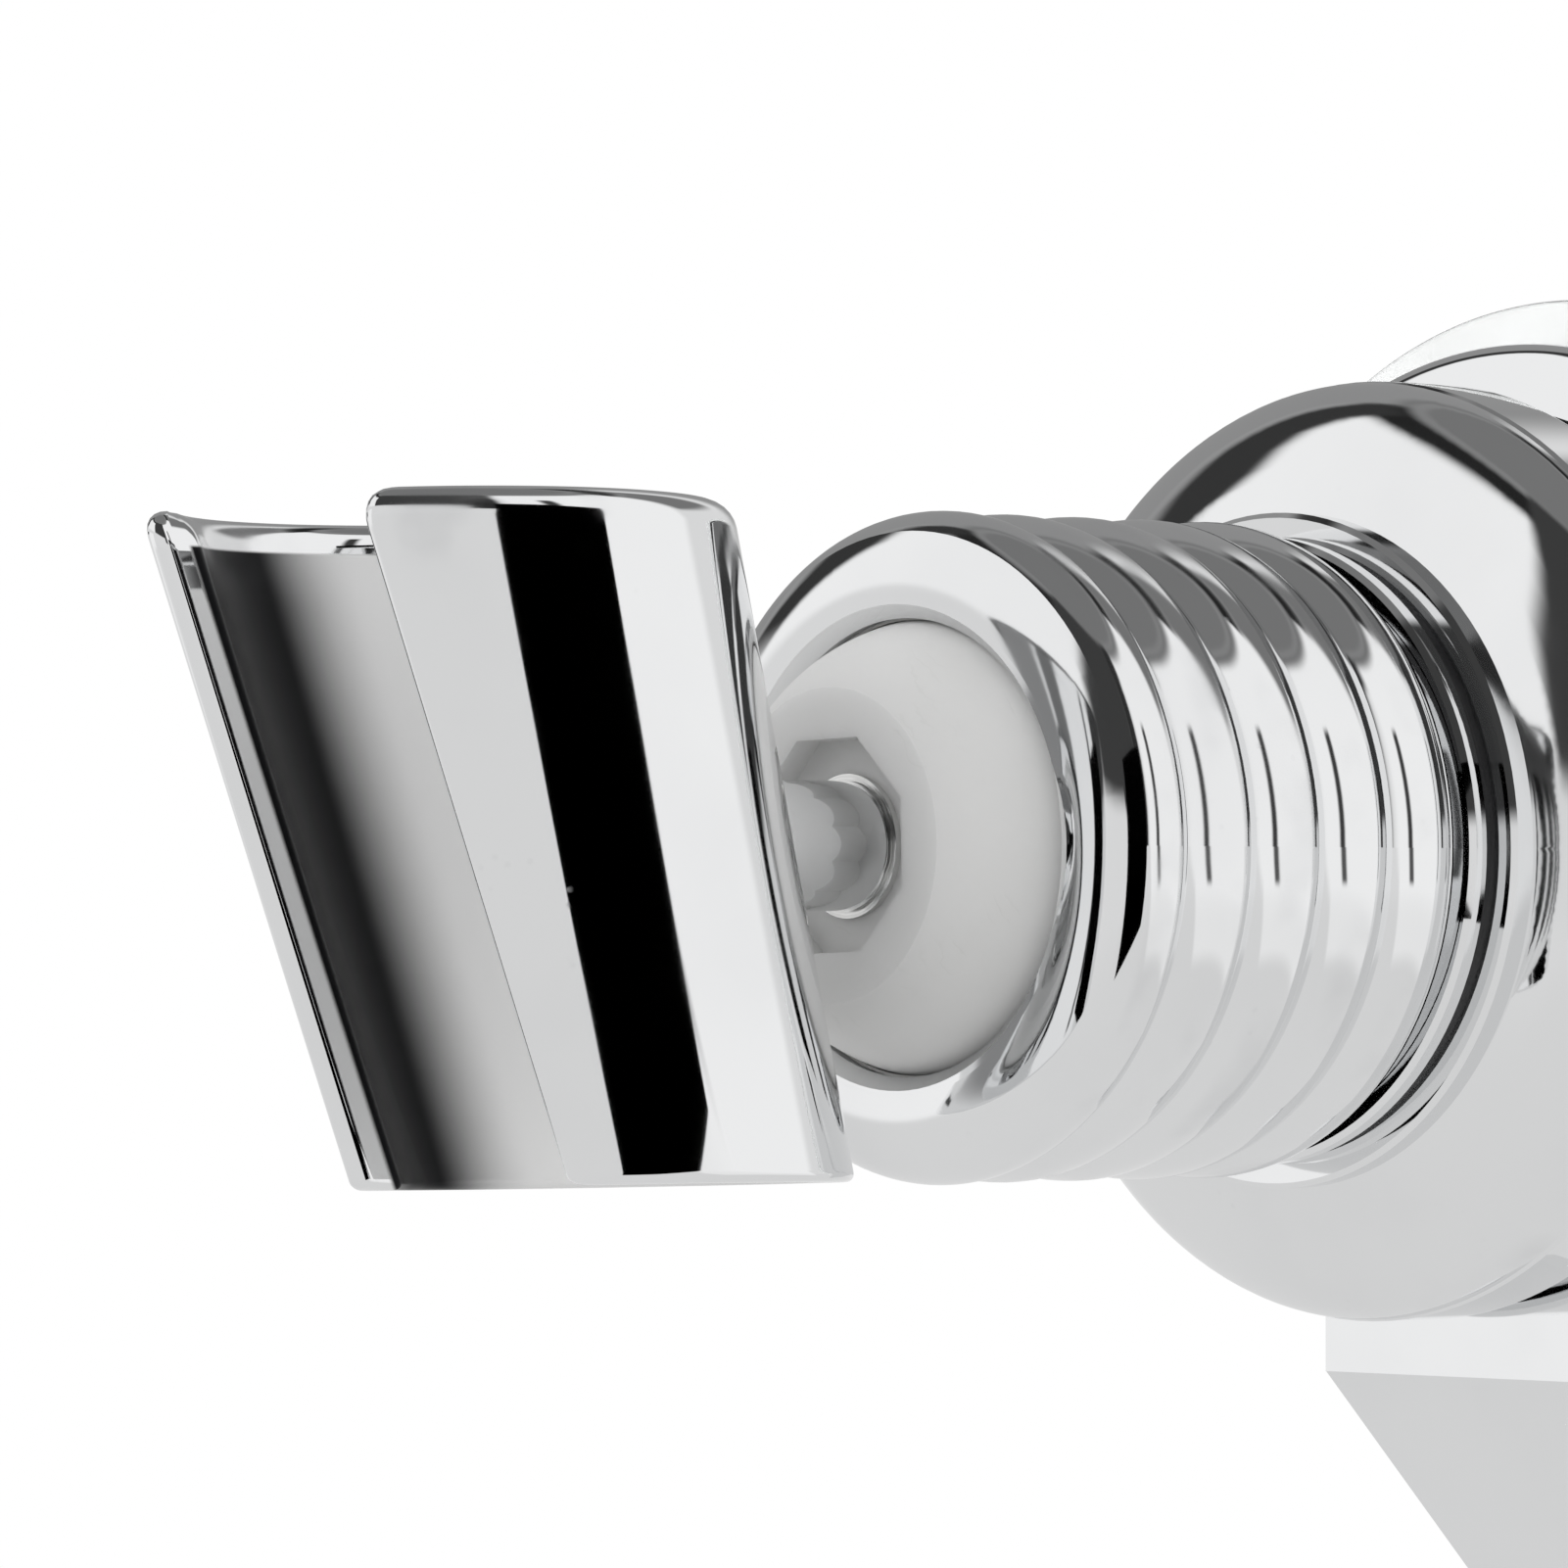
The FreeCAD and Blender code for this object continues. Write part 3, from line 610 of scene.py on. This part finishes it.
# Soft vinyl disc: thin rounded lip, a shallow hollow behind, and fine sealing ridges on its rear face
def makeDisc(look):
    hollow, start = look["hollow"], look["hollowStart"]
    profile = [(look["holeRadius"], hollow), (start, hollow)]
    for i in range(1, look["hollowSteps"] + 1):
        share = i / look["hollowSteps"]
        bow = look["hollowBow"] * math.sin(math.pi * share)
        profile.append((start + share * (look["hollowRadius"] - start), hollow * (1 - share) + bow))
    for ridge in range(look["ridges"]):
        ridgeStart = look["ridgeStart"] + ridge * look["ridgePitch"]
        for i in range(look["ridgeSteps"] + 1):
            share = i / look["ridgeSteps"]
            rise = look["ridgeHeight"] * 0.5 * (1 - math.cos(2 * math.pi * share))
            profile.append((ridgeStart + share * look["ridgePitch"] * look["ridgeShare"], rise))
    half = look["rim"] / 2
    profile += rounding((look["radius"] - half, half), half, -90, 90, look["lipSteps"])
    profile += [(look["lipStart"], look["rim"]), (look["bodyStart"], look["body"])]
    profile += [(look["bodyEnd"], look["body"]), (look["footRadius"], look["footOut"])]
    profile += [(look["bossRadius"], look["bossOut"] - look["bossChamfer"])]
    profile += [(look["bossRadius"] - look["bossChamfer"], look["bossOut"])]
    profile += [(look["holeRadius"], look["bossOut"])]
    build = bmesh.new()
    skinRows(build, latheRows(profile, look["steps"]))
    mesh = finishMesh(build, "vinylDisc")
    addPiece(mesh, "base", "clear_vinyl", "suction_disc", look["smoothAngle"])


makeDisc(discLook)
print("disc made")


ringLook = {"around": 160, "steps": 20, "flash": 0.00003, "smoothAngle": 60}


# Rubber ring with a round section and a faint mould line inside and outside
def makeRing(look):
    low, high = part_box("housing_oring")
    section = (high[1] - low[1]) / 2
    radius, out = high[0] - section, -(high[1] + low[1]) / 2
    profile = []
    for i in range(look["steps"]):
        turn = 2 * math.pi * i / look["steps"]
        size = section - (0 if i % (look["steps"] // 2) == 0 else look["flash"])
        profile.append((radius + size * math.cos(turn), out + size * math.sin(turn)))
    build = bmesh.new()
    skinRows(build, latheRows(profile, look["around"]))
    mesh = finishMesh(build, "rubberRing")
    addPiece(mesh, "base", "black_rubber", "housing_oring", look["smoothAngle"])


makeRing(ringLook)
print("rubber ring made")


# Camera: level with the holder, 48 degrees round to its right side, with a long lens
cameraLook = {
    "place": (0.41452, -0.43622, -0.00474), "azimuth": 47.94, "elevation": -0.84,
    "lens": 233.4, "sensor": 36, "nearest": 0.01, "farthest": 20,
}


def makeCamera(look):
    data = bpy.data.cameras.new("photoCamera")
    data.lens = look["lens"]
    data.sensor_width = look["sensor"]
    data.clip_start = look["nearest"]
    data.clip_end = look["farthest"]
    camera = bpy.data.objects.new("photoCamera", data)
    bpy.context.scene.collection.objects.link(camera)
    turn, rise = math.radians(look["azimuth"]), math.radians(look["elevation"])
    back = Vector((math.sin(turn) * math.cos(rise), -math.cos(turn) * math.cos(rise), math.sin(rise)))
    camera.location = look["place"]
    camera.rotation_mode = "QUATERNION"
    camera.rotation_quaternion = (-back).to_track_quat("-Z", "Y")
    bpy.context.scene.camera = camera


makeCamera(cameraLook)
print("camera made")


# Studio: a pale floor well below the holder, soft lamps, and panels that only the plating mirrors.
# Angles are in degrees: 0 looks straight out from the wall, 90 to the holder's right.
studioLook = {
    "floorHeight": -0.085,
    "floorSize": 14,
    "floorPale": (0.82, 0.82, 0.815, 1), "floorShade": (0.78, 0.78, 0.775, 1), "floorCloud": 3,
    "floorLevel": 0.8,                    # as the plating mirrors it
    "shadowFrom": 0.2, "shadowTo": 0.45, "shadowShare": 0.2,
    "worldLevel": 0.55,
    "roomGrey": 0.80,
    "panels": [
        # level, from, to, lowest, highest, softness
        (0.20, -180, 180, 60, 90, 5),     # grey ceiling
        (0.02, -180, 180, 50, 61, 3),     # dark cornice under it
        (0.30, -150, -86, 4, 60, 6),      # left wall
        (0.04, -87, -68, 12, 58, 4),      # dark door left of the window
        (1.00, -68, -4, 8, 50, 3),        # window
        (0.05, -3, 62, 8, 62, 3),         # dark corner
        (0.03, 60, 73, -3, 62, 2),        # door jamb
        (1.00, 76, 160, -30, 58, 3),      # large soft box
        (0.05, 92, 99, -10, 36, 2),       # its pole
        (0.20, 164, 200, 22, 52, 4),      # dark wall behind
    ],
    "patchSoftness": 2, "patchNear": 0.9, "patchFar": 1.2,
    "floorLightPoolsAndPatches": [
        # change of the mirrored level, from, to, nearest
        # The next two rows are painted pools of light on the floor, which only the plating mirrors
        (0.20, 76, 158, 0.13),            # under the large soft box
        (0.20, -66, -25, 0.30),           # under the window
        (-0.90, 92, 99, 0.45),            # pole
        (-0.74, -86, -69, 1.20),          # under the dark door
    ],
    "card": {"corners": ((0.0536, -0.1084), (0.0587, -0.0675)), "low": (-0.05, -0.0225), "high": 0.03},
    "lampTarget": (0, -0.03, 0),
    "lamps": [
        # name, place, size, power
        ("keyLamp", (0.55, -1.6, 0.9), 1.0, 10),
        ("fillLamp", (-1.1, -1.0, 0.6), 1.2, 5),
    ],
}


# What the camera sees, also through clear pieces, and what is mirrored
def whoLooks(wires):
    path = wires.add("LightPath")
    seen = wires.math("MAXIMUM", path.other("Is Camera Ray"), path.other("Is Transmission Ray"))
    return seen, path.other("Is Glossy Ray")


# Degrees round from straight out
def degreesRound(wires, parts):
    return wires.math("ARCTAN2", parts.other("X"), parts.other("Y") * -1.0) * math.degrees(1)


def makeFloor(look):
    bpy.ops.mesh.primitive_plane_add(size=look["floorSize"], location=(0, 0, look["floorHeight"]))
    floor = bpy.context.active_object
    floor.name = "floor"
    material, wires = newMaterial("paleFloor")
    seen, mirrored = whoLooks(wires)
    place = wires.add("TexCoord", None, None, "Object")
    parts = wires.add("SeparateXYZ", None, {"Vector": place})
    x, y = parts.other("X"), parts.other("Y")
    reach = (x * x + y * y).toThe(0.5)
    turn = degreesRound(wires, parts)
    level = look["floorLevel"]
    # Painted pools of light and darker patches on the floor, in what the plating mirrors
    for change, left, right, nearest in look["floorLightPoolsAndPatches"]:
        patch = turn.band(left, right, look["patchSoftness"])
        patch = patch * reach.between(nearest * look["patchNear"], nearest * look["patchFar"])
        level = level + patch * change
    clear = reach.between(look["shadowFrom"], look["shadowTo"]) * look["shadowShare"]
    share = (seen + mirrored) * (clear + (1 - look["shadowShare"]))
    tint = wires.blend(wires.noise(place, look["floorCloud"]), look["floorShade"], look["floorPale"])
    matte = wires.add("BsdfDiffuse", None, {"Color": tint})
    glow = wires.add("Emission", None, {"Color": (1, 1, 1, 1), "Strength": seen + mirrored * level})
    both = wires.add("MixShader", None, {0: share, 1: matte, 2: glow})
    wires.add("OutputMaterial", None, {"Surface": both})
    floor.data.materials.append(material)


# Camera and clear pieces see white, plating sees the panels, and everything else a plain level
def makeWorld(look):
    world = bpy.data.worlds.new("studio")
    world.use_nodes = True
    world.node_tree.nodes.clear()
    wires = Wire(world.node_tree)
    seen, mirrored = whoLooks(wires)
    way = wires.add("TexCoord", None, None, "Generated")
    parts = wires.add("SeparateXYZ", None, {"Vector": way})
    turn = degreesRound(wires, parts)
    rise = wires.math("ARCSINE", parts.other("Z")) * math.degrees(1)
    room = look["roomGrey"]
    for level, left, right, lowest, highest, soft in look["panels"]:
        if highest < 90:
            inside = rise.band(lowest, highest, soft)
        else:
            inside = rise.between(lowest - soft, lowest + soft)
        if right - left < 360:
            here = turn if right <= 180 else wires.math("WRAP", turn, 360, 0)
            inside = inside * here.band(left, right, soft)
        room = room * (1 - inside) + inside * level
    strength = seen + mirrored * room + (1 - seen - mirrored) * look["worldLevel"]
    shine = wires.add("Background", None, {"Color": (1, 1, 1, 1), "Strength": strength})
    wires.add("OutputWorld", None, {"Surface": shine})
    bpy.context.scene.world = world


# A black card close to the cradle's right side. Only the plating mirrors it.
def makeCard(look):
    (x1, y1), (x2, y2) = look["corners"]
    (low1, low2), high = look["low"], look["high"]
    mesh = bpy.data.meshes.new("blackCard")
    mesh.from_pydata([(x1, y1, low1), (x2, y2, low2), (x2, y2, high), (x1, y1, high)], [], [(0, 1, 2, 3)])
    card = bpy.data.objects.new("blackCard", mesh)
    bpy.context.scene.collection.objects.link(card)
    material, wires = newMaterial("blackCard")
    blackAndPaintedShade = wires.add("Emission", None, {"Color": (0, 0, 0, 1), "Strength": 0.0})
    wires.add("OutputMaterial", None, {"Surface": blackAndPaintedShade})
    mesh.materials.append(material)
    for kind in ("camera", "diffuse", "transmission", "volume_scatter", "shadow"):
        setattr(card, "visible_" + kind, False)


# A soft lamp that lights the pieces but isn't mirrored in them
def makeLamp(name, place, size, power, target):
    data = bpy.data.lights.new(name, "AREA")
    data.shape = "SQUARE"
    data.size = size
    data.energy = power
    lamp = bpy.data.objects.new(name, data)
    bpy.context.scene.collection.objects.link(lamp)
    lamp.location = place
    aim = Vector(target) - Vector(place)
    lamp.rotation_mode = "QUATERNION"
    lamp.rotation_quaternion = aim.to_track_quat("-Z", "Y")
    lamp.visible_glossy = False
    lamp.visible_transmission = False


makeFloor(studioLook)
makeWorld(studioLook)
makeCard(studioLook["card"])
for lamp in studioLook["lamps"]:
    makeLamp(*lamp, studioLook["lampTarget"])

bpy.context.scene.view_settings.view_transform = "Standard"
print("studio made")
